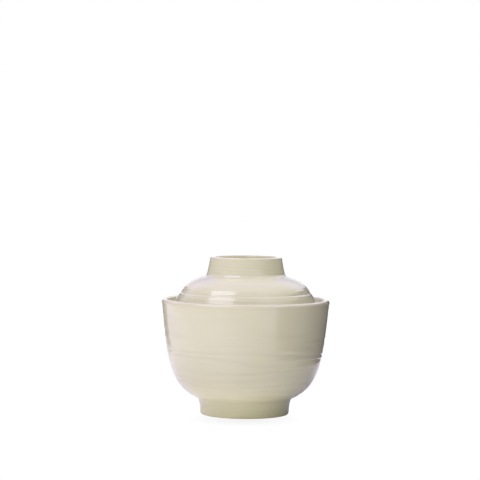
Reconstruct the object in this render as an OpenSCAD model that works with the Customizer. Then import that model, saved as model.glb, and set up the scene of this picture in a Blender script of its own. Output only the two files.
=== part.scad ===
// Footed stoneware bowl with a drop-in lid, under a cream glaze.
// The bowl and its foot ring are one thrown piece, and so are the lid and its ring knob,
// so each is one solid of revolution about Z. The lid rests on a seat inside the bowl's mouth
// and lifts straight out. Millimetres, +Z up, origin on the table under the middle of the foot.

/* [Bowl] */
// Outer diameter of the bowl, at its lip
bowl_d = 120; // [112:1:130]
// Height of the bowl without its lid
bowl_h = 82; // [76:1:90]
// Thickness of the rounded lip
lip_t = 3.9; // [3.4:0.1:4.3]
// Thickness of the floor over the foot's hollow
floor_t = 5.5; // [4.5:0.5:7]

/* [Foot ring] */
// Outer diameter of the foot ring where it meets the belly
foot_d = 66.8; // [60:0.2:72]
// Height at which the belly springs from the foot ring
foot_h = 11.4; // [10:0.2:13]
// How far the foot ring narrows on its way down
foot_taper = 1.6; // [0.5:0.1:3]
// Width of the foot ring's standing face
foot_face_w = 3; // [2:0.2:4]
// Depth of the hollow inside the foot ring
foot_hollow = 8.6; // [6:0.2:9]

/* [Lid seat] */
// Depth of the seat below the lip
seat_depth = 8.2; // [7:0.1:9]
// Width of the seat, from the bowl's inner wall
seat_w = 3.4; // [3:0.1:4]
// Gap left all round the lid in its seat
lid_gap = 0.75; // [0.4:0.05:1]
// Air left under the resting lid, so that the two pieces stay apart
seat_air = 0.1; // [0.05:0.05:0.3]

/* [Lid] */
// Height of the lid above the lip, up to the top of its ring knob
lid_rise = 30; // [28:1:33]
// Diameter of the dome level with the bowl's lip
dome_d = 98.6; // [96:0.2:100]
// Thickness of the lid's wall
lid_t = 3.4; // [3:0.1:3.8]
// Thickness of the lid's out-turned rim
rim_t = 2.5; // [2.2:0.1:2.8]

/* [Ring knob] */
// Height of the ring knob above the dome
knob_h = 13.4; // [12:0.2:14]
// Diameter of the ring knob at its foot
knob_foot_d = 57; // [54:0.5:58]
// Diameter of the ring knob at its top
knob_top_d = 51.3; // [49:0.1:53]
// Width of the ring knob's top face
knob_face_w = 2.6; // [2:0.2:3]
// Depth of the hollow inside the ring knob
knob_hollow = 9.8; // [8:0.2:10]

/* [Throwing rings] */
// Height of the rings that the potter's fingers left on the outside
ring_h = 0.18; // [0:0.02:0.3]
// Distance from one ring to the next
ring_pitch = 5.8; // [4:0.2:8]

/* [Hidden] */
$fn = 144;
glaze = [0.87, 0.85, 0.78];

lip_out_r = lip_t * 0.38;                 // rounding of the lip's outer edge
lip_in_r = lip_t * 0.46;                  // rounding of the lip's inner edge
rim_r = bowl_d / 2;
foot_r = foot_d / 2;
seat_z = bowl_h - seat_depth;
mouth_r = rim_r - lip_t - 0.7;            // inner wall just above the seat
throat_r = mouth_r - seat_w;              // inner edge of the seat
inner_floor = foot_hollow + floor_t;

lid_z = seat_z + seat_air;                // underside of the resting lid
lid_r = mouth_r - lid_gap;                // outer edge of the lid's rim
dome_r = dome_d / 2;
top_z = bowl_h + lid_rise;
knob_z = top_z - knob_h;                  // where the ring knob meets the dome
knob_floor = top_z - knob_hollow;
knob_out = knob_top_d / 2;
knob_in = knob_out - knob_face_w - 1.4;   // inner wall of the ring knob, below its rounded edge

// Points along a cubic curve from a to d, with handles b and c
function curve(a, b, c, d, n) =
    [for (i = [0:n]) let (t = i / n, u = 1 - t) u*u*u*a + 3*u*u*t*b + 3*u*t*t*c + t*t*t*d];

// Points along an arc about c, from angle from to angle to
function arc(c, r, from, to, n) =
    [for (i = [0:n]) let (a = from + (to - from) * i / n) c + r * [cos(a), sin(a)]];

// Direction square to a path at its point i, to the right of the way it runs
function side(p, i) =
    let (d = p[min(i + 1, len(p) - 1)] - p[max(i - 1, 0)]) [d.y, -d.x] / norm(d);

// A path with throwing rings, which fade out at both its ends
function ringed(p) =
    [for (i = [0:len(p) - 1])
        let (fade = min(1, i / 6, (len(p) - 1 - i) / 6))
        p[i] + side(p, i) * ring_h * fade * sin(360 * p[i].y / ring_pitch)];

// Outside of the bowl: standing face, foot ring, belly and wall, up to the lip
belly = ringed(curve(
    [foot_r + 0.4, foot_h + 0.1],
    [rim_r * 0.883, foot_h + (bowl_h - foot_h) * 0.132],
    [rim_r * 0.918, foot_h + (bowl_h - foot_h) * 0.325],
    [rim_r - 0.65, bowl_h - 4],
    64));
foot_wall = concat(
    arc([foot_r - foot_taper - 1.6, 1.3], 1.3, -90, -10, 6),
    curve(
        [foot_r - foot_taper - 0.1, 3],
        [foot_r - foot_taper, 7],
        [foot_r - 0.9, 9],
        [foot_r - 0.2, foot_h - 0.3],
        8));
lip = concat(
    arc([rim_r - lip_out_r, bowl_h - lip_out_r - 0.2], lip_out_r, -25, 84, 9),
    arc([rim_r - lip_t + lip_in_r, bowl_h - lip_in_r], lip_in_r, 90, 190, 9));

// Inside of the bowl: from the lip down to the seat, the throat and the floor
seat = concat(
    arc([mouth_r - 0.8, seat_z + 0.8], 0.8, 0, -90, 4),
    arc([throat_r + 0.9, seat_z - 0.9], 0.9, 90, 180, 4));
inner_wall = curve(
    [throat_r, seat_z - 2],
    [throat_r + 0.4, seat_z - 42],
    [throat_r - 5, inner_floor + 2.5],
    [foot_r * 0.7, inner_floor],
    36);
inner_floor_dish = curve(
    [foot_r * 0.66, inner_floor - 0.15],
    [foot_r * 0.45, inner_floor - 0.6],
    [foot_r * 0.25, inner_floor - 0.6],
    [0, inner_floor - 0.6],
    8);

// Hollow under the bowl: its ceiling, with the turner's low centre button, and the ring's inner wall
hollow_r = foot_r - foot_taper - 1.6 - foot_face_w - 0.8;
foot_hollow_path = concat(
    [[0, foot_hollow - 1.2], [2.2, foot_hollow - 1.1], [4.6, foot_hollow]],
    arc([hollow_r - 1.6, foot_hollow - 1.4], 1.4, 90, 5, 6),
    [[hollow_r, 2.2]],
    arc([hollow_r + 0.8, 0.8], 0.8, 170, 270, 4));

bowl_outline = concat(foot_hollow_path, foot_wall, belly, lip, seat, inner_wall, inner_floor_dish);

// Outside of the lid, from its rim up to the ring knob. The dome has two soft steps in it.
rim_edge = arc([lid_r - rim_t * 0.5, lid_z + rim_t * 0.5], rim_t * 0.5, -90, 80, 9);
lid_flare = curve(
    [lid_r - 1.6, lid_z + rim_t],
    [dome_r + 1.6, lid_z + rim_t],
    [dome_r + 0.6, bowl_h - 4],
    [dome_r, bowl_h],
    10);
low_band = curve(
    [dome_r - 0.1, bowl_h + 0.5],
    [dome_r - 0.4, bowl_h + 2.5],
    [dome_r - 0.7, bowl_h + 3.5],
    [dome_r - 2.1, bowl_h + 4.3],
    8);
middle_band = curve(
    [dome_r - 2.6, bowl_h + 4.7],
    [dome_r - 3.5, bowl_h + 6.8],
    [dome_r - 4.9, bowl_h + 9.0],
    [dome_r - 6.9, bowl_h + 10.5],
    10);
crown = curve(
    [dome_r - 7.6, bowl_h + 11.1],
    [dome_r - 10.3, bowl_h + 13.7],
    [dome_r - 14, bowl_h + 15.2],
    [knob_foot_d / 2 + 1.4, knob_z],
    12);
knob_wall = curve(
    [knob_foot_d / 2 + 0.2, knob_z + 0.5],
    [knob_foot_d / 2 - 1.2, knob_z + 2.5],
    [knob_out + 1.2, knob_z + 6],
    [knob_out, top_z - 1],
    14);
knob_edge = arc([knob_out - 1, top_z - 1], 1, 15, 90, 5);

// Hollow of the ring knob: its inner edge, wall and floor, with a low centre button
knob_hollow_path = concat(
    arc([knob_in + 0.9, top_z - 0.9], 0.9, 90, 180, 5),
    [[knob_in - 0.5, knob_floor + 2.2]],
    arc([knob_in - 2.1, knob_floor + 1.5], 1.5, -5, -90, 6),
    [[4.2, knob_floor], [2, knob_floor + 0.8], [0, knob_floor + 0.9]]);

// Underside of the lid, from the middle of the dome down to its rim
under_z = knob_floor - lid_t - 0.2;
lid_inside = concat(
    curve(
        [0, under_z + 0.2],
        [8, under_z + 0.2],
        [14, under_z],
        [21, under_z - 1],
        8),
    curve(
        [22, under_z - 1.2],
        [35.5, under_z - 3.4],
        [dome_r - lid_t - 2.2, bowl_h + 6.5],
        [dome_r - lid_t + 0.2, bowl_h],
        24),
    curve(
        [dome_r - lid_t + 0.3, bowl_h - 0.8],
        [dome_r - lid_t + 0.9, bowl_h - 4],
        [dome_r - lid_t + 2, lid_z + 0.9],
        [dome_r - lid_t + 3.8, lid_z],
        10));

lid_outline = concat(
    lid_inside, rim_edge, lid_flare, low_band, middle_band, crown,
    knob_wall, knob_edge, knob_hollow_path);

module bowl() {
    color(glaze)
        rotate_extrude()
            polygon(bowl_outline);
}

module lid() {
    color(glaze)
        rotate_extrude()
            polygon(lid_outline);
}

bowl();
lid();
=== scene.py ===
import math
from typing import Callable, NamedTuple

import bmesh
import bpy
from bpy.props import FloatProperty, FloatVectorProperty, IntProperty, PointerProperty
from mathutils import Matrix, Vector, noise
from mathutils.geometry import interpolate_bezier


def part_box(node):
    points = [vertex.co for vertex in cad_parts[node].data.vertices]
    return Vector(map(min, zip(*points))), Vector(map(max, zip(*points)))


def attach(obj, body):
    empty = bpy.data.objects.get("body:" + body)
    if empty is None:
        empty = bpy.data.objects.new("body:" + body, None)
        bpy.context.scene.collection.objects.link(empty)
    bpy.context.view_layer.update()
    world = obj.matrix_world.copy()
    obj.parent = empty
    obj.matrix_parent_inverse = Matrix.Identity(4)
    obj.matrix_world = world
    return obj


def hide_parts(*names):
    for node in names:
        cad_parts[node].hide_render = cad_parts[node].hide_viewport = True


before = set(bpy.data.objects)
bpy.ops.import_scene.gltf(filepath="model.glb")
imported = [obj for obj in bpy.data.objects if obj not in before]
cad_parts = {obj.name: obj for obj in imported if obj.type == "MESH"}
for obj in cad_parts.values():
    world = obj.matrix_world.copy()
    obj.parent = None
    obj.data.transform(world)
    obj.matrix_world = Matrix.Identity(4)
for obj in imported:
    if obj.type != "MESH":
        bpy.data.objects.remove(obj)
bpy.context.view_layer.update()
bowl_low, bowl_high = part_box("bowl")
lid_low, lid_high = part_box("lid")

bl_info = {
    "name": "Footed bowl with a drop-in lid",
    "version": (1, 0, 0),
    "blender": (4, 5, 0),
    "location": "3D View > Sidebar > Pottery",
    "description": "Throws and glazes a lidded stoneware bowl and sets it on a pale studio table",
    "category": "Add Mesh",
}

# Outlines are drawn in millimetres, as (radius, height) pairs. Meshes are in metres.
MM = 0.001
UP = (0.0, 0.0, 1.0)
ORIGIN = (0.0, 0.0, 0.0)

# Distances along an outline, in millimetres.
SAME_POINT = 0.02
ON_AXIS = 0.01
MARK_FADE = 5.0
NO_GLAZE_EDGE = 99.0
NEVER_WIPED = 999.0

# Distances in the studio, in metres, and the width of the film in millimetres.
TABLE_WIDTH = 6.0
LIGHT_DISTANCE = 1.5
LIGHT_AIM = Vector((0.0, 0.0, 0.07))
FILM_WIDTH = 36.0


# ---------------------------------------------------------------- settings


def length(name, description, default, low, high, precision=4):
    """A length in metres for the sidebar."""
    return FloatProperty(name=name, description=description, default=default, min=low, max=high,
                         precision=precision, unit="LENGTH")


def colour_choice(name, description, default):
    """A colour for the sidebar."""
    return FloatVectorProperty(name=name, description=description, subtype="COLOR", size=3,
                               min=0.0, max=1.0, default=default)


class BowlSizes(bpy.types.PropertyGroup):
    """Sizes of the bowl, which stand on those of its CAD solid"""

    rim_radius: length(
        "Rim radius", "From the axis to the outside of the lip",
        bowl_high.x, 0.05, 0.07)
    height: length(
        "Height", "From the table to the top of the lip",
        bowl_high.z, 0.07, 0.1)
    lip_width: length(
        "Lip width", "Thickness of the rounded lip",
        0.0039, 0.003, 0.005)
    foot_radius: length(
        "Foot radius", "Outer radius of the foot ring where it meets the belly",
        0.0334, 0.028, 0.038)
    foot_height: length(
        "Foot height", "Height at which the belly springs from the foot ring",
        0.0114, 0.009, 0.014)
    floor_height: length(
        "Inner floor", "Height of the floor inside the bowl",
        0.0141, 0.012, 0.018)
    seat_height: length(
        "Seat height", "Height of the seat that the lid rests on",
        0.0738, 0.07, 0.078)
    ring_height: length(
        "Ring height", "Relief of the throwing rings, from the middle of the wall",
        0.00014, 0.0, 0.0004, precision=5)
    ring_spacing: length(
        "Ring spacing", "Distance from one throwing ring to the next",
        0.0058, 0.003, 0.009)


class LidSizes(bpy.types.PropertyGroup):
    """Sizes of the lid, which stand on those of its CAD solid"""

    edge_radius: length(
        "Edge radius", "From the axis to the edge of the lid's out-turned rim",
        lid_high.x, 0.045, 0.06)
    rest_height: length(
        "Resting height", "Height of the rim's underside on its seat",
        lid_low.z, 0.06, 0.08)
    top_height: length(
        "Top height", "Height of the ring knob's top face",
        lid_high.z, 0.1, 0.13)
    dome_radius: length(
        "Dome radius", "Radius of the dome level with the bowl's lip",
        0.0493, 0.045, 0.052)
    wall: length(
        "Wall", "Thickness of the lid's wall",
        0.0034, 0.003, 0.004)
    knob_radius: length(
        "Knob radius", "Outer radius of the ring knob at its top",
        0.02565, 0.022, 0.028)
    knob_height: length(
        "Knob height", "Height of the ring knob above the dome",
        0.0134, 0.01, 0.016)
    knob_hollow: length(
        "Knob hollow", "Depth of the hollow inside the ring knob",
        0.0098, 0.006, 0.011)


class GlazeLook(bpy.types.PropertyGroup):
    """Colours and gloss of the glaze and of the clay under it"""

    cream: colour_choice(
        "Cream", "Colour of the glaze where it lies evenly",
        (0.71, 0.69, 0.466))
    drift: colour_choice(
        "Drift", "Colour that the glaze drifts towards over a few centimetres",
        (0.685, 0.67, 0.432))
    pooled: colour_choice(
        "Pooled", "Colour of the glaze where it pools in hollows",
        (0.60, 0.575, 0.415))
    thin: colour_choice(
        "Thin", "Colour of the glaze where it runs thin over an edge",
        (0.70, 0.61, 0.46))
    speck: colour_choice(
        "Speck", "Colour of the iron specks in the glaze",
        (0.25, 0.19, 0.12))
    clay: colour_choice(
        "Clay", "Colour of the bare fired clay",
        (0.50, 0.39, 0.27))
    toasted: colour_choice(
        "Toasted", "Colour of the clay along the edge of the glaze",
        (0.33, 0.19, 0.10))


class StudioSettings(bpy.types.PropertyGroup):
    """The camera's place and the light"""

    distance: FloatProperty(
        name="Camera distance", description="From the bowl's axis to the camera, along the table",
        default=1.396, min=0.5, max=4.0, unit="LENGTH")
    camera_height: length(
        "Camera height", "Height of the camera above the table",
        0.181, 0.0, 2.0, precision=3)
    aside: length(
        "Camera aside", "How far the camera stands to the right of the bowl's axis",
        -0.0044, -0.1, 0.1)
    pitch: FloatProperty(
        name="Camera pitch", description="How far the camera looks down",
        default=math.radians(2.341), min=0.0, max=1.0, subtype="ANGLE", unit="ROTATION")
    roll: FloatProperty(
        name="Camera roll", description="How far the camera leans to its left",
        default=math.radians(0.58), min=-0.2, max=0.2, subtype="ANGLE", unit="ROTATION")
    lens: FloatProperty(
        name="Lens", description="Focal length in millimetres on a 36 mm wide film",
        default=147.2, min=20.0, max=300.0)
    key_power: FloatProperty(
        name="Key power", description="Power of the soft key light in watts",
        default=11.0, min=0.0, max=200.0, unit="POWER")
    fill_power: FloatProperty(
        name="Fill power", description="Power of the low fill light in front, in watts",
        default=1.6, min=0.0, max=200.0, unit="POWER")
    segments: IntProperty(
        name="Segments", description="Facets around each turned piece",
        default=180, min=48, max=192)


class PotterySettings(bpy.types.PropertyGroup):
    """Everything that the sidebar shows"""

    bowl: PointerProperty(type=BowlSizes)
    lid: PointerProperty(type=LidSizes)
    look: PointerProperty(type=GlazeLook)
    studio: PointerProperty(type=StudioSettings)


# ---------------------------------------------------------------- outlines


def curve(start, start_handle, end_handle, end, steps):
    """Points of a cubic curve between two (radius, height) pairs."""
    knots = (Vector((r, 0.0, z)) for r, z in (start, start_handle, end_handle, end))
    return interpolate_bezier(*knots, steps + 1)


def arc(centre, radius, first_angle, last_angle, steps):
    """Points of an arc about a (radius, height) pair, with its angles in degrees."""
    points = []
    for step in range(steps + 1):
        angle = math.radians(first_angle + (last_angle - first_angle) * step / steps)
        points.append(Vector((centre[0] + radius * math.cos(angle), 0.0,
                              centre[1] + radius * math.sin(angle))))
    return points


def smooth_step(low, high, value):
    """0 below low, 1 above high and a smooth ramp between."""
    t = min(1.0, max(0.0, (value - low) / (high - low)))
    return t * t * (3.0 - 2.0 * t)


def round_the_axis(turn, height):
    """A place for noise to be read at, which meets itself after a whole turn."""
    return Vector((math.cos(math.tau * turn), math.sin(math.tau * turn), height))


def no_marks(turn, along):
    """The relief of a surface that was wiped smooth."""
    return 0.0


def finger_marks(height, spacing, wander, seed, wiped_from=NEVER_WIPED):
    """Relief of throwing rings: wide hollows between narrow ridges, which climb once a turn.

    The rings come and go round the piece, and are all but wiped away further along than wiped_from.
    The finer lines of the wet sponge lie over them.
    """
    def relief(turn, along):
        around = round_the_axis(turn, along / spacing * 0.7)
        slip = wander * noise.noise(around * 0.8 + Vector((seed, 0.0, 0.0)))
        press = smooth_step(-0.45, 0.5, noise.noise(around * 1.3 + Vector((0.0, seed, 0.0))))
        wiped = 1.0 - 0.7 * smooth_step(wiped_from, wiped_from + 15.0, along)
        wave = math.cos(math.pi * (along / spacing + turn + slip))
        ridge = 1.3 - 2.2 * math.sqrt(wave * wave + 0.03)
        scratch = 0.2 * noise.noise(Vector((seed, 0.6 * math.sin(math.tau * turn), along * 0.9)))
        return height * (press * wiped * ridge + scratch)
    return relief


class Stretch(NamedTuple):
    """One stretch of an outline, with the marks that were left on it."""

    points: list
    marks: Callable = no_marks
    glazed: bool = True


def outline_runs(stretches):
    """The outline's points, the stretch that each belongs to and its distance along the outline."""
    points, owners = [], []
    for index, stretch in enumerate(stretches):
        for point in stretch.points:
            if points and (point - points[-1]).length < SAME_POINT:
                continue
            points.append(point)
            owners.append(index)
    runs = [0.0]
    for previous, point in zip(points, points[1:]):
        runs.append(runs[-1] + (point - previous).length)
    return points, owners, runs


def glaze_distances(stretches, owners, runs):
    """Distance from each point to the nearest edge of the glaze, negative on bare clay."""
    edges = [(runs[i] + runs[i + 1]) / 2 for i in range(len(runs) - 1)
             if stretches[owners[i]].glazed != stretches[owners[i + 1]].glazed]
    distances = []
    for owner, run in zip(owners, runs):
        nearest = min((abs(run - edge) for edge in edges), default=NO_GLAZE_EDGE)
        distances.append(nearest if stretches[owner].glazed else -nearest)
    return distances


def roundings(points):
    """How sharply the outline bends at each point, in radians per millimetre: above 0 over an edge."""
    sharp = [0.0]
    for before, point, after in zip(points, points[1:], points[2:]):
        into, out = point - before, after - point
        bend = into.x * out.z - into.z * out.x
        sharp.append(bend / (into.length * out.length * (into.length + out.length) / 2))
    sharp.append(0.0)
    for _ in range(6):
        sharp = [(sharp[max(i - 1, 0)] + 2 * s + sharp[min(i + 1, len(sharp) - 1)]) / 4
                 for i, s in enumerate(sharp)]
    return sharp


# ---------------------------------------------------------------- turned pieces


def turn_piece(name, stretches, segments, wobble):
    """Spin an outline into a closed piece and press its throwing marks into it.

    The outline starts and ends on the axis, and runs with the clay on its left.
    """
    points, owners, runs = outline_runs(stretches)
    starts = [runs[owners.index(i)] for i in range(len(stretches))]
    lengths = [max(r for r, o in zip(runs, owners) if o == i) - starts[i] or 1.0
               for i in range(len(stretches))]

    mesh_in_progress = bmesh.new()
    layers = mesh_in_progress.verts.layers.float
    run_layer, owner_layer = layers.new("run"), layers.new("owner")
    glaze_layer, rounding_layer = layers.new("glaze_edge"), layers.new("rounding")
    ridge_layer = layers.new("ridge")

    verts = []
    distances = glaze_distances(stretches, owners, runs)
    for point, owner, run, distance, rounding in zip(points, owners, runs, distances, roundings(points)):
        vert = mesh_in_progress.verts.new(point * MM)
        vert[run_layer], vert[owner_layer] = run, owner
        vert[glaze_layer], vert[rounding_layer] = distance, rounding
        verts.append(vert)
    edges = [mesh_in_progress.edges.new(pair) for pair in zip(verts, verts[1:])]
    bmesh.ops.spin(mesh_in_progress, geom=verts + edges, cent=ORIGIN, axis=UP, dvec=ORIGIN,
                   angle=math.tau, steps=segments, use_merge=True, use_duplicate=False)
    close_pole(mesh_in_progress, points[0])
    close_pole(mesh_in_progress, points[-1])
    bmesh.ops.recalc_face_normals(mesh_in_progress, faces=mesh_in_progress.faces[:])

    mesh_in_progress.normal_update()
    moves = []
    for vert in mesh_in_progress.verts:
        turn = math.atan2(vert.co.y, vert.co.x) / math.tau
        owner = round(vert[owner_layer])
        along = vert[run_layer] - starts[owner]
        fade = (smooth_step(0.0, MARK_FADE, along)
                * smooth_step(0.0, MARK_FADE, lengths[owner] - along))
        relief = fade * stretches[owner].marks(turn, along)
        vert[ridge_layer] = relief
        out = Vector((vert.co.x, vert.co.y, 0.0))
        moves.append(vert.normal * relief * MM + out * wobble(turn, vert.co.z))
    for vert, move in zip(mesh_in_progress.verts, moves):
        vert.co += move

    layers.remove(layers["run"])
    layers.remove(layers["owner"])
    mesh = bpy.data.meshes.new(name)
    mesh_in_progress.to_mesh(mesh)
    mesh_in_progress.free()
    mesh.shade_smooth()
    piece = bpy.data.objects.new(name, mesh)
    bpy.context.scene.collection.objects.link(piece)
    return piece


def close_pole(mesh_in_progress, point):
    """Merge the points that the spin left on the axis."""
    pole = point * MM
    on_axis = [v for v in mesh_in_progress.verts if (v.co - pole).length < ON_AXIS * MM]
    bmesh.ops.pointmerge(mesh_in_progress, verts=on_axis, merge_co=(0.0, 0.0, pole.z))


def bowl_stretches(sizes):
    """The bowl's outline, from the middle of the foot's hollow round the outside to the inner floor."""
    rim, top = sizes.rim_radius / MM, sizes.height / MM
    lip = sizes.lip_width / MM
    foot, foot_top = sizes.foot_radius / MM, sizes.foot_height / MM
    floor, seat = sizes.floor_height / MM, sizes.seat_height / MM
    lip_overhang, seat_width, foot_ring_width = 0.7, 3.4, 7.0
    mouth = rim - lip - lip_overhang
    throat = mouth - seat_width
    hollow = foot - foot_ring_width
    ceiling = 8.6
    stand_in, stand_out = hollow + 0.8, foot - 3.2
    lip_out, lip_in = lip * 0.6, lip * 0.4
    rise = top - foot_top
    rings = finger_marks(sizes.ring_height / MM, sizes.ring_spacing / MM, 0.9, 3.7, wiped_from=51.0)

    hollow_points = (
        curve((0, ceiling - 1.2), (2, ceiling - 1.2), (2.6, ceiling), (5.5, ceiling), 14)
        + curve((6, ceiling), (12, ceiling + 0.1), (18, ceiling + 0.1), (hollow - 1.8, ceiling), 20)
        + arc((hollow - 1.6, ceiling - 1.4), 1.4, 85, 5, 7)
        + curve((hollow - 0.1, 6.4), (hollow, 5), (hollow, 4), (hollow, 2.4), 8))
    foot_points = (
        arc((stand_out, 1.3), 1.3, -55, -10, 6)
        + curve((foot - 1.7, 3), (foot - 1.6, 7), (foot - 0.9, 9), (foot - 0.2, foot_top - 0.5), 18)
        + curve((foot - 0.1, foot_top - 0.3), (foot, foot_top - 0.1),
                (foot + 0.1, foot_top + 0.1), (foot + 0.5, foot_top + 0.2), 4))
    return [
        Stretch(hollow_points, finger_marks(0.05, 3.0, 0.3, 8.1)),
        Stretch(arc((stand_in, 0.8), 0.8, 180, 265, 6)
                + curve((stand_in + 0.2, 0), (stand_in + 1, 0), (stand_out - 1, 0), (stand_out, 0), 8)
                + arc((stand_out, 1.3), 1.3, -85, -60, 4), glazed=False),
        Stretch(foot_points),
        Stretch(curve((foot + 0.7, foot_top + 0.3),
                      (rim * 0.883, foot_top + rise * 0.132),
                      (rim * 0.918, foot_top + rise * 0.325),
                      (rim - 0.35, top - 3.4), 230), rings),
        Stretch(arc((rim - lip_out, top - lip_out), lip_out, -8, 78, 14)
                + arc((rim - lip + lip_in, top - lip_in), lip_in, 96, 190, 12)
                + curve((rim - lip, top - 2.6), (rim - lip - 0.2, top - 4),
                        (mouth + 0.1, seat + 2.5), (mouth, seat + 1.3), 8)),
        Stretch(arc((mouth - 0.8, seat + 0.8), 0.8, -10, -85, 5)
                + curve((mouth - 1, seat), (mouth - 1.6, seat), (throat + 1.6, seat), (throat + 1, seat), 4)
                + arc((throat + 0.9, seat - 0.9), 0.9, 92, 170, 6), glazed=False),
        Stretch(curve((throat, seat - 1.6), (throat + 0.4, seat - 42),
                      (throat - 5, floor + 2.5), (foot * 0.7, floor), 110)
                + curve((foot * 0.68, floor - 0.05), (foot * 0.45, floor - 0.6),
                        (foot * 0.25, floor - 0.6), (0, floor - 0.6), 40),
                finger_marks(0.14, 4.6, 0.35, 5.2)),
    ]


def lid_stretches(sizes, lip_height):
    """The lid's outline, from under the middle of its dome round the rim to the knob's hollow."""
    edge, rest = sizes.edge_radius / MM, sizes.rest_height / MM
    top, dome = sizes.top_height / MM, sizes.dome_radius / MM
    wall, knob = sizes.wall / MM, sizes.knob_radius / MM
    knob_foot = top - sizes.knob_height / MM
    knob_floor = top - sizes.knob_hollow / MM
    lip = lip_height / MM
    rim, knob_ring_width = 2.5, 4.0
    inner, knob_in = dome - wall, knob - knob_ring_width
    under = knob_floor - wall - 0.2

    return [
        Stretch(curve((0, under + 0.2), (8, under + 0.2), (14, under), (21, under - 1), 26)
                + curve((21.5, under - 1.1), (35.5, under - 3.4), (inner - 2.2, lip + 6.5),
                        (inner + 0.2, lip), 60)
                + curve((inner + 0.25, lip - 0.5), (inner + 0.9, lip - 4), (inner + 2, rest + 1.1),
                        (inner + 3.4, rest + 0.15), 14),
                finger_marks(0.11, 4.2, 0.35, 11.3)),
        Stretch(curve((inner + 3.8, rest), (inner + 5, rest), (edge - 3, rest), (edge - 1.25, rest), 8)
                + arc((edge - rim / 2, rest + rim / 2), rim / 2, -80, -20, 7), glazed=False),
        Stretch(arc((edge - rim / 2, rest + rim / 2), rim / 2, -10, 80, 9)
                + curve((edge - 1.6, rest + rim), (dome + 2.0, rest + rim), (dome + 1.3, lip - 3),
                        (dome + 0.6, lip - 1.2), 20)
                + curve((dome + 0.45, lip - 0.8), (dome - 0.3, lip + 0.7), (dome - 1.4, lip + 2.7),
                        (dome - 2.35, lip + 4.0), 18)
                + curve((dome - 2.5, lip + 4.15), (dome - 2.8, lip + 4.35), (dome - 3.1, lip + 4.55),
                        (dome - 3.25, lip + 4.8), 4)
                + curve((dome - 3.35, lip + 5.0), (dome - 4.0, lip + 6.4), (dome - 5.2, lip + 8.3),
                        (dome - 6.8, lip + 9.8), 20)
                + curve((dome - 7.1, lip + 10.05), (dome - 10.3, lip + 13.0), (dome - 14, lip + 14.7),
                        (knob + 3.9, knob_foot - 0.4), 46)
                + curve((knob + 3.6, knob_foot - 0.3), (knob + 3.1, knob_foot),
                        (knob + 2.6, knob_foot + 0.75), (knob + 2.2, knob_foot + 1.4), 7)
                + curve((knob + 2.15, knob_foot + 1.7), (knob + 1.6, knob_foot + 3.8),
                        (knob + 1.0, knob_foot + 7), (knob, top - 1), 40)
                + arc((knob - 1, top - 1), 1, 10, 90, 7),
                finger_marks(0.035, 2.4, 0.5, 21.9)),
        Stretch(arc((knob_in + 0.9, top - 0.9), 0.9, 90, 175, 7)
                + curve((knob_in, top - 1.2), (knob_in - 0.1, top - 4), (knob_in - 0.3, knob_floor + 4),
                        (knob_in - 0.5, knob_floor + 2), 12)
                + arc((knob_in - 2.1, knob_floor + 1.5), 1.5, 0, -88, 8)
                + curve((knob_in - 2.6, knob_floor), (14, knob_floor - 0.1), (9, knob_floor - 0.1),
                        (4.8, knob_floor), 20)
                + curve((4.6, knob_floor), (2.6, knob_floor), (2, knob_floor + 0.9),
                        (0, knob_floor + 0.9), 12),
                finger_marks(0.04, 2.8, 0.3, 31.4)),
    ]


def hand_wobble(amount, seed):
    """Share by which a thrown radius strays from true, more towards the top."""
    def stray(turn, height):
        around = round_the_axis(turn, height * 12.0)
        return amount * height * noise.noise(around * 0.9 + Vector((seed, seed, 0.0)))
    return stray


# ---------------------------------------------------------------- node helpers


def new_node(tree, kind, settings=None, **inputs):
    """Add a node, set its properties, and set or link its inputs by name or number."""
    node = tree.nodes.new(kind)
    for key, value in (settings or {}).items():
        setattr(node, key, value)
    for key, value in inputs.items():
        numbered = key[0] == "i" and key[1:].isdigit()
        feed(tree, value, node.inputs[int(key[1:]) if numbered else key.replace("_", " ")])
    return node


def feed(tree, value, socket):
    """Link an output to a socket, or set the socket to a plain value."""
    if isinstance(value, bpy.types.NodeSocket):
        tree.links.new(value, socket)
    elif socket.type == "RGBA" and len(value) == 3:
        socket.default_value = (*value, 1.0)
    else:
        socket.default_value = value


def maths(tree, operation, first, second=0.0, third=0.0):
    """The result of a Math node."""
    node = new_node(tree, "ShaderNodeMath", {"operation": operation}, i0=first, i1=second, i2=third)
    return node.outputs[0]


def coordinates(tree, kind="Object"):
    """The place or direction that a material or the world is read at."""
    return tree.nodes.new("ShaderNodeTexCoord").outputs[kind]


def mesh_mark(tree, name):
    """A value that turn_piece left on the mesh."""
    return new_node(tree, "ShaderNodeAttribute", {"attribute_name": name}).outputs["Fac"]


def ramp(tree, value, low, high, to_low=0.0, to_high=1.0):
    """A value brought smoothly from one range to another."""
    node = new_node(tree, "ShaderNodeMapRange", {"interpolation_type": "SMOOTHSTEP"},
                    Value=value, From_Min=low, From_Max=high, To_Min=to_low, To_Max=to_high)
    return node.outputs["Result"]


def blend_colour(tree, factor, first, second):
    """A mix of two colours."""
    node = tree.nodes.new("ShaderNodeMix")
    node.data_type = "RGBA"
    feed(tree, factor, node.inputs[0])
    feed(tree, first, node.inputs[6])
    feed(tree, second, node.inputs[7])
    return node.outputs[2]


def soft_noise(tree, scale, detail=2.0):
    """Noise between 0 and 1 on object coordinates, with its scale in waves per metre."""
    node = new_node(tree, "ShaderNodeTexNoise", Vector=coordinates(tree), Scale=scale, Detail=detail)
    return node.outputs[0]


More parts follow.
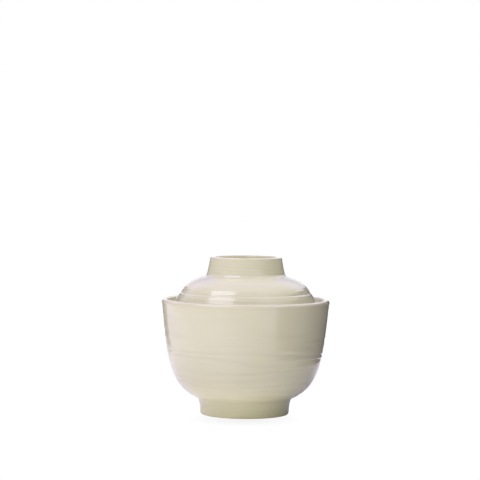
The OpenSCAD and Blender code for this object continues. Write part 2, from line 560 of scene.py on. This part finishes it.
def new_group(name, inputs, outputs):
    """A shader node group with named sockets, and the sockets inside it at its two ends."""
    group = bpy.data.node_groups.new(name, "ShaderNodeTree")
    for socket_name, (kind, default) in inputs.items():
        socket = group.interface.new_socket(socket_name, in_out="INPUT",
                                            socket_type=f"NodeSocket{kind}")
        socket.default_value = default
    for socket_name, kind in outputs.items():
        group.interface.new_socket(socket_name, in_out="OUTPUT", socket_type=f"NodeSocket{kind}")
    return group, group.nodes.new("NodeGroupInput").outputs, group.nodes.new("NodeGroupOutput").inputs


def place_group(tree, name, **inputs):
    """Place a node group in a material and return its outputs."""
    node = tree.nodes.new("ShaderNodeGroup")
    node.node_tree = bpy.data.node_groups[name]
    for key, value in inputs.items():
        feed(tree, value, node.inputs[key.replace("_", " ")])
    return node.outputs


def line_up(tree):
    """Lay a tree's nodes out in columns, from its output backwards."""
    depth = {node: 0 for node in tree.nodes}
    for _ in range(len(tree.nodes)):
        for link in tree.links:
            depth[link.from_node] = max(depth[link.from_node], depth[link.to_node] + 1)
    rows = {}
    for node in tree.nodes:
        row = rows.setdefault(depth[node], 0)
        node.location = (-260.0 * depth[node], -260.0 * row)
        rows[depth[node]] = row + 1


# ---------------------------------------------------------------- effects


def glaze_depth_group():
    """Where the glaze lies thick in the hollows and thin over edges and ridges."""
    tree, given, result = new_group(
        "Glaze depth",
        {"Ridge Height": ("Float", 0.1), "Edge Sharpness": ("Float", 0.5)},
        {"Pooled": "Float", "Thin": "Float"})
    ridge = mesh_mark(tree, "ridge")
    rounding = mesh_mark(tree, "rounding")
    level = maths(tree, "DIVIDE", ridge, given["Ridge Height"])
    crease = maths(tree, "DIVIDE", rounding, given["Edge Sharpness"])
    patches = soft_noise(tree, 60.0)
    in_hollows = ramp(tree, level, 0.1, -1.0)
    in_creases = ramp(tree, crease, -0.1, -1.0)
    pooled = maths(tree, "MULTIPLY", maths(tree, "MAXIMUM", in_hollows, in_creases),
                   ramp(tree, patches, 0.2, 0.7, 0.5, 1.0))
    on_ridges = maths(tree, "MULTIPLY", ramp(tree, level, 0.3, 1.2), 0.5)
    thin = maths(tree, "MULTIPLY", maths(tree, "MAXIMUM", on_ridges, ramp(tree, crease, 0.2, 1.0)),
                 ramp(tree, patches, 0.25, 0.75, 1.0, 0.35))
    feed(tree, pooled, result["Pooled"])
    feed(tree, thin, result["Thin"])
    line_up(tree)


def iron_specks_group():
    """Small specks and pinholes of uneven size, in some of the cells of a scatter."""
    tree, given, result = new_group(
        "Iron specks",
        {"Spacing": ("Float", 0.004), "Share": ("Float", 0.3)},
        {"Speck": "Float", "Pit": "Float"})
    scale = maths(tree, "DIVIDE", 1.0, given["Spacing"])
    cells = new_node(tree, "ShaderNodeTexVoronoi", {"feature": "F1"}, Vector=coordinates(tree), Scale=scale)
    first_chance, second_chance, _ = new_node(
        tree, "ShaderNodeSeparateColor", Color=cells.outputs["Color"]).outputs
    chosen = maths(tree, "LESS_THAN", first_chance, given["Share"])
    size = maths(tree, "MULTIPLY", second_chance, 0.07)
    nearness = maths(tree, "SUBTRACT", maths(tree, "ADD", size, 0.035), cells.outputs["Distance"])
    speck = maths(tree, "MULTIPLY", ramp(tree, nearness, 0.0, 0.04), chosen)
    feed(tree, speck, result["Speck"])
    feed(tree, maths(tree, "MULTIPLY", ramp(tree, nearness, -0.03, 0.04), chosen), result["Pit"])
    line_up(tree)


def glaze_line_group():
    """The wavy edge of the glaze: bare clay beyond it and toasted clay along it."""
    tree, given, result = new_group(
        "Glaze line",
        {"Waviness": ("Float", 0.5), "Toasted Width": ("Float", 0.5)},
        {"Bare": "Float", "Toasted": "Float", "Bead": "Float"})
    distance = mesh_mark(tree, "glaze_edge")
    waves = maths(tree, "SUBTRACT", soft_noise(tree, 140.0, 3.0), 0.5)
    edge = maths(tree, "MULTIPLY_ADD", waves, given["Waviness"], distance)
    feed(tree, ramp(tree, edge, 0.05, -0.05), result["Bare"])
    toasted = maths(tree, "SUBTRACT", 1.0, maths(
        tree, "DIVIDE", maths(tree, "ABSOLUTE", edge), given["Toasted Width"]))
    feed(tree, ramp(tree, toasted, 0.0, 1.0), result["Toasted"])
    feed(tree, maths(tree, "MULTIPLY", ramp(tree, edge, -0.05, 0.15), ramp(tree, edge, 1.4, 0.3)),
         result["Bead"])
    line_up(tree)


def clay_grain_group():
    """Sandy grain of fired clay, as a tint between 0 and 1 and as a height."""
    tree, given, result = new_group(
        "Clay grain", {"Grain Size": ("Float", 0.0004)}, {"Tint": "Float", "Height": "Float"})
    scale = maths(tree, "DIVIDE", 1.0, given["Grain Size"])
    grains = soft_noise(tree, scale, 4.0)
    patches = soft_noise(tree, 90.0, 3.0)
    mixed = maths(tree, "MULTIPLY_ADD", grains, 0.6, maths(tree, "MULTIPLY", patches, 0.4))
    feed(tree, ramp(tree, mixed, 0.3, 0.7), result["Tint"])
    feed(tree, grains, result["Height"])
    line_up(tree)


def new_material(name):
    """A material with nodes, and its node tree."""
    material = bpy.data.materials.new(name)
    material.use_nodes = True
    return material, material.node_tree


def glazed_stoneware(name, look, drift_scale, ridge_height):
    """Cream glaze over stoneware: pooled in hollows, thin over edges, specked, bare where it stands."""
    material, tree = new_material(name)
    shader = tree.nodes["Principled BSDF"]
    shader.inputs["IOR"].default_value = 1.52
    pooled_strength, thin_strength, toasted_strength, grain_strength = 0.35, 0.4, 0.55, 0.35
    fine_strength, coarse_strength = 0.25, 0.45

    depth = place_group(tree, "Glaze depth", Ridge_Height=ridge_height, Edge_Sharpness=0.5)
    fine = place_group(tree, "Iron specks", Spacing=0.0042, Share=0.22)
    coarse = place_group(tree, "Iron specks", Spacing=0.017, Share=0.3)
    line = place_group(tree, "Glaze line", Waviness=0.9, Toasted_Width=0.55)
    grain = place_group(tree, "Clay grain", Grain_Size=0.0004)

    def over(under, mask, strength, upper):
        share = maths(tree, "MULTIPLY", mask, strength)
        return blend_colour(tree, share, under, upper)

    drift = ramp(tree, soft_noise(tree, drift_scale), 0.3, 0.7)
    colour = blend_colour(tree, drift, tuple(look.cream), tuple(look.drift))
    colour = over(colour, depth["Pooled"], pooled_strength, tuple(look.pooled))
    colour = over(colour, depth["Thin"], thin_strength, tuple(look.thin))
    specks = maths(tree, "MAXIMUM", maths(tree, "MULTIPLY", fine["Speck"], fine_strength),
                   maths(tree, "MULTIPLY", coarse["Speck"], coarse_strength))
    colour = blend_colour(tree, specks, colour, tuple(look.speck))
    clay = over(tuple(look.clay), grain["Tint"], grain_strength, tuple(look.toasted))
    colour = blend_colour(tree, line["Bare"], colour, clay)
    colour = over(colour, line["Toasted"], toasted_strength, tuple(look.toasted))
    feed(tree, colour, shader.inputs["Base Color"])

    glossy, dull, clay_roughness = 0.10, 0.17, 0.85
    ripple = soft_noise(tree, 260.0)
    gloss = ramp(tree, soft_noise(tree, 45.0), 0.3, 0.7, glossy, dull)
    roughness = maths(tree, "MAXIMUM", gloss, maths(tree, "MULTIPLY", line["Bare"], clay_roughness))
    feed(tree, roughness, shader.inputs["Roughness"])

    glaze_height = maths(tree, "SUBTRACT", maths(tree, "MULTIPLY", ripple, 0.35),
                         maths(tree, "MULTIPLY", maths(tree, "ADD", fine["Pit"], coarse["Pit"]), 0.5))
    glaze_height = maths(tree, "MULTIPLY_ADD", line["Bead"], 0.8, glaze_height)
    clay_height = maths(tree, "MULTIPLY", grain["Height"], line["Bare"])
    bump = new_node(tree, "ShaderNodeBump", Height=maths(tree, "ADD", glaze_height, clay_height),
                    Strength=1.0, Distance=0.06 * MM)
    feed(tree, bump.outputs["Normal"], shader.inputs["Normal"])
    line_up(tree)
    return material


def build_effects():
    """Build each shared effect once."""
    builders = {"Glaze depth": glaze_depth_group, "Iron specks": iron_specks_group,
                "Glaze line": glaze_line_group, "Clay grain": clay_grain_group}
    for name, build in builders.items():
        if name not in bpy.data.node_groups:
            build()


# ---------------------------------------------------------------- studio


def by_eye(tree, seen, otherwise):
    """One shader for what the camera looks at straight, and another for all other light."""
    path = tree.nodes.new("ShaderNodeLightPath")
    mixed = new_node(tree, "ShaderNodeMixShader", Fac=path.outputs["Is Camera Ray"],
                     i1=otherwise, i2=seen)
    return mixed.outputs[0]


def table_material():
    """White table top that glows warmly by the foot and, further off, most of all on the right.

    To the eye it is burnt out, but for a faint painted shade before the foot, drawn by distance and not
    cast.
    """
    material, tree = new_material("pale_table")
    tree.nodes.clear()
    place = coordinates(tree)
    across, along, _ = new_node(tree, "ShaderNodeSeparateXYZ", Vector=place).outputs
    from_key = maths(tree, "MULTIPLY_ADD", across, 0.6, maths(tree, "MULTIPLY", along, 0.8))
    matt = new_node(tree, "ShaderNodeBsdfDiffuse", Color=(0.92, 0.92, 0.92))
    even_glow, glow_by_foot = 0.03, 0.2
    glow_on_left, glow_on_right = 0.15, 0.46
    painted_shade_by_foot, burnt_out_white = 0.89, 1.02
    from_axis = new_node(tree, "ShaderNodeVectorMath", {"operation": "LENGTH"}, i0=place).outputs["Value"]
    by_foot = maths(tree, "MULTIPLY", ramp(tree, from_key, 0.01, -0.03),
                    ramp(tree, from_axis, 0.08, 0.045, 0.0, glow_by_foot))
    further = maths(tree, "MULTIPLY", ramp(tree, from_axis, 0.07, 0.17),
                    ramp(tree, across, 0.0, 0.1, glow_on_left, glow_on_right))
    glow = new_node(tree, "ShaderNodeEmission", Color=(1.0, 0.93, 0.8),
                    Strength=maths(tree, "ADD", maths(tree, "ADD", by_foot, further), even_glow))
    lit = new_node(tree, "ShaderNodeAddShader", i0=matt.outputs[0], i1=glow.outputs[0])
    # Painted shade: to the camera the table dims softly near a point just before the foot, by distance
    # alone; the bowl casts no shadow here.
    before_foot = new_node(tree, "ShaderNodeVectorMath", {"operation": "DISTANCE"},
                           i0=place, i1=(0.0, -0.03, 0.0)).outputs["Value"]
    burnt_out = new_node(tree, "ShaderNodeEmission", Color=(1.0, 1.0, 1.0),
                         Strength=ramp(tree, before_foot, 0.005, 0.052, painted_shade_by_foot, burnt_out_white))
    new_node(tree, "ShaderNodeOutputMaterial",
             Surface=by_eye(tree, burnt_out.outputs[0], lit.outputs[0]))
    line_up(tree)
    return material


def card_material():
    """Matt black card."""
    material, tree = new_material("black_card")
    shader = tree.nodes["Principled BSDF"]
    shader.inputs["Base Color"].default_value = (0.02, 0.02, 0.02, 1.0)
    shader.inputs["Roughness"].default_value = 0.9
    return material


def stage_sheet(name, material, width, depth, matrix):
    """A flat sheet of the studio, which isn't part of the object."""
    sheet = bmesh.new()
    bmesh.ops.create_grid(sheet, x_segments=1, y_segments=1, size=0.5)
    bmesh.ops.scale(sheet, verts=sheet.verts, vec=(width, depth, 1.0))
    mesh = bpy.data.meshes.new(name)
    sheet.to_mesh(mesh)
    sheet.free()
    mesh.materials.append(material)
    stage_object = bpy.data.objects.new(name, mesh)
    stage_object.matrix_world = matrix
    bpy.context.scene.collection.objects.link(stage_object)
    return stage_object


def studio_world():
    """White surround for the eye; for the light, bright behind and high on the right, dim in front."""
    world = bpy.data.worlds.new("studio")
    bpy.context.scene.world = world
    world.use_nodes = True
    tree = world.node_tree
    tree.nodes.clear()
    right, back, up = new_node(
        tree, "ShaderNodeSeparateXYZ", Vector=coordinates(tree, "Generated")).outputs
    high = ramp(tree, up, 0.12, 0.5)
    masks_and_colours = (
        (ramp(tree, back, 0.55, 0.85), ramp(tree, up, 0.4, 0.2), (1.05, 1.06, 1.2)),
        (ramp(tree, back, 0.3, 0.7), ramp(tree, up, 0.2, 0.5), (0.60, 0.56, 1.15)),
        (ramp(tree, right, 0.05, 0.6), high, (1.40, 1.36, 1.30)),
        (ramp(tree, right, -0.05, -0.6), high, (0.55, 0.46, 0.47)),
        (ramp(tree, back, -0.05, -0.6), high, (0.22, 0.23, 0.30)),
        (ramp(tree, up, 0.6, 1.0), 1.0, (0.64, 0.58, 0.96)))
    light = None
    for across, upward, colour in masks_and_colours:
        part = new_node(tree, "ShaderNodeBackground", Color=colour,
                        Strength=maths(tree, "MULTIPLY", across, upward)).outputs[0]
        light = new_node(tree, "ShaderNodeAddShader", i0=light, i1=part).outputs[0] if light else part
    seen = new_node(tree, "ShaderNodeBackground", Color=(1.0, 1.0, 1.0), Strength=1.0)
    new_node(tree, "ShaderNodeOutputWorld", Surface=by_eye(tree, seen.outputs[0], light))
    line_up(tree)


def standing_card(name, x, near, far, height):
    """A black card on edge at one side of the object, which only its reflection shows."""
    sideways = Matrix.Rotation(math.pi / 2, 4, "Y")
    place = Matrix.Translation((x, (near + far) / 2, height / 2))
    card = stage_sheet(name, card_material(), height, far - near, place @ sideways)
    card.visible_camera = False


def soft_box(name, power, colour, bearing, elevation, lean, width, height):
    """A rectangular soft light that faces the bowl, with its angles in degrees.

    Its bearing runs from the camera's side to the left.
    """
    light = bpy.data.lights.new(name, "AREA")
    light.shape = "RECTANGLE"
    light.size, light.size_y = width, height
    light.energy = power
    light.color = colour
    bearing, elevation = math.radians(bearing), math.radians(elevation)
    flat = math.cos(elevation)
    toward = Vector((-math.sin(bearing) * flat, -math.cos(bearing) * flat, math.sin(elevation)))
    lamp = bpy.data.objects.new(name, light)
    lamp.location = LIGHT_AIM + toward * LIGHT_DISTANCE
    lamp.rotation_euler = toward.to_track_quat("Z", "Y").to_euler()
    lamp.rotation_euler.rotate_axis("Z", math.radians(lean))
    bpy.context.scene.collection.objects.link(lamp)


def studio_camera(studio):
    """The camera, a little above the knob and looking slightly down."""
    data = bpy.data.cameras.new("studio_camera")
    data.lens = studio.lens
    data.sensor_width = FILM_WIDTH
    data.clip_end = 50.0
    camera = bpy.data.objects.new("studio_camera", data)
    camera.location = (studio.aside, -studio.distance, studio.camera_height)
    camera.rotation_euler = (math.pi / 2 - studio.pitch, 0.0, 0.0)
    camera.rotation_euler.rotate_axis("Z", studio.roll)
    bpy.context.scene.collection.objects.link(camera)
    bpy.context.scene.camera = camera


# ---------------------------------------------------------------- operators


class POTTERY_OT_throw_bowl(bpy.types.Operator):
    """Throw, turn and glaze the bowl and its foot ring"""

    bl_idname = "pottery.throw_bowl"
    bl_label = "Throw Bowl"

    def execute(self, context):
        settings = context.scene.pottery
        build_effects()
        bowl = turn_piece("thrown_bowl", bowl_stretches(settings.bowl), settings.studio.segments,
                          hand_wobble(amount=0.05, seed=2.3))
        bowl.data.materials.append(
            glazed_stoneware("bowl_cream_glaze", settings.look, drift_scale=22.0,
                             ridge_height=settings.bowl.ring_height / MM))
        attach(bowl, "bowl")
        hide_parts("bowl")
        return {"FINISHED"}


class POTTERY_OT_throw_lid(bpy.types.Operator):
    """Throw, turn and glaze the lid and its ring knob"""

    bl_idname = "pottery.throw_lid"
    bl_label = "Throw Lid"

    def execute(self, context):
        settings = context.scene.pottery
        build_effects()
        lid = turn_piece("thrown_lid", lid_stretches(settings.lid, settings.bowl.height),
                         settings.studio.segments, hand_wobble(amount=0.03, seed=7.9))
        lid.data.materials.append(
            glazed_stoneware("lid_cream_glaze", settings.look, drift_scale=27.0, ridge_height=0.05))
        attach(lid, "lid")
        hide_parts("lid")
        return {"FINISHED"}


class POTTERY_OT_set_stage(bpy.types.Operator):
    """Set up the pale table, the soft light and the camera"""

    bl_idname = "pottery.set_stage"
    bl_label = "Set Stage"

    def execute(self, context):
        scene = context.scene
        studio = scene.pottery.studio
        scene.view_settings.view_transform = "Standard"
        stage_sheet("table", table_material(), TABLE_WIDTH, TABLE_WIDTH, Matrix.Identity(4))
        studio_world()
        soft_box("key_soft_box", studio.key_power, colour=(0.76, 0.74, 1.0),
                 bearing=58, elevation=54, lean=22, width=0.95, height=0.68)
        soft_box("low_fill", studio.fill_power, colour=(1.0, 0.98, 0.6),
                 bearing=24, elevation=8, lean=0, width=0.9, height=0.35)
        standing_card("right_card", x=0.137, near=-0.175, far=0.6, height=0.155)
        standing_card("left_card", x=-0.2, near=0.165, far=0.6, height=0.2)
        studio_camera(studio)
        return {"FINISHED"}


class VIEW3D_PT_pottery(bpy.types.Panel):
    """Sizes, colours and light of the lidded bowl"""

    bl_label = "Lidded Bowl"
    bl_space_type = "VIEW_3D"
    bl_region_type = "UI"
    bl_category = "Pottery"

    def draw(self, context):
        settings = context.scene.pottery
        groups = (("pottery.throw_bowl", settings.bowl), ("pottery.throw_lid", settings.lid),
                  ("pottery.set_stage", settings.studio), (None, settings.look))
        for operator, group in groups:
            box = self.layout.box()
            if operator:
                box.operator(operator)
            for name in group.bl_rna.properties.keys():
                if name not in {"rna_type", "name"}:
                    box.prop(group, name)


CLASSES = (BowlSizes, LidSizes, GlazeLook, StudioSettings, PotterySettings, POTTERY_OT_throw_bowl,
           POTTERY_OT_throw_lid, POTTERY_OT_set_stage, VIEW3D_PT_pottery)


def register():
    for cls in CLASSES:
        bpy.utils.register_class(cls)
    bpy.types.Scene.pottery = PointerProperty(type=PotterySettings)


def unregister():
    del bpy.types.Scene.pottery
    for cls in reversed(CLASSES):
        bpy.utils.unregister_class(cls)


def main():
    register()
    bpy.ops.pottery.throw_bowl()
    bpy.ops.pottery.throw_lid()
    bpy.ops.pottery.set_stage()


if __name__ == "__main__":
    main()
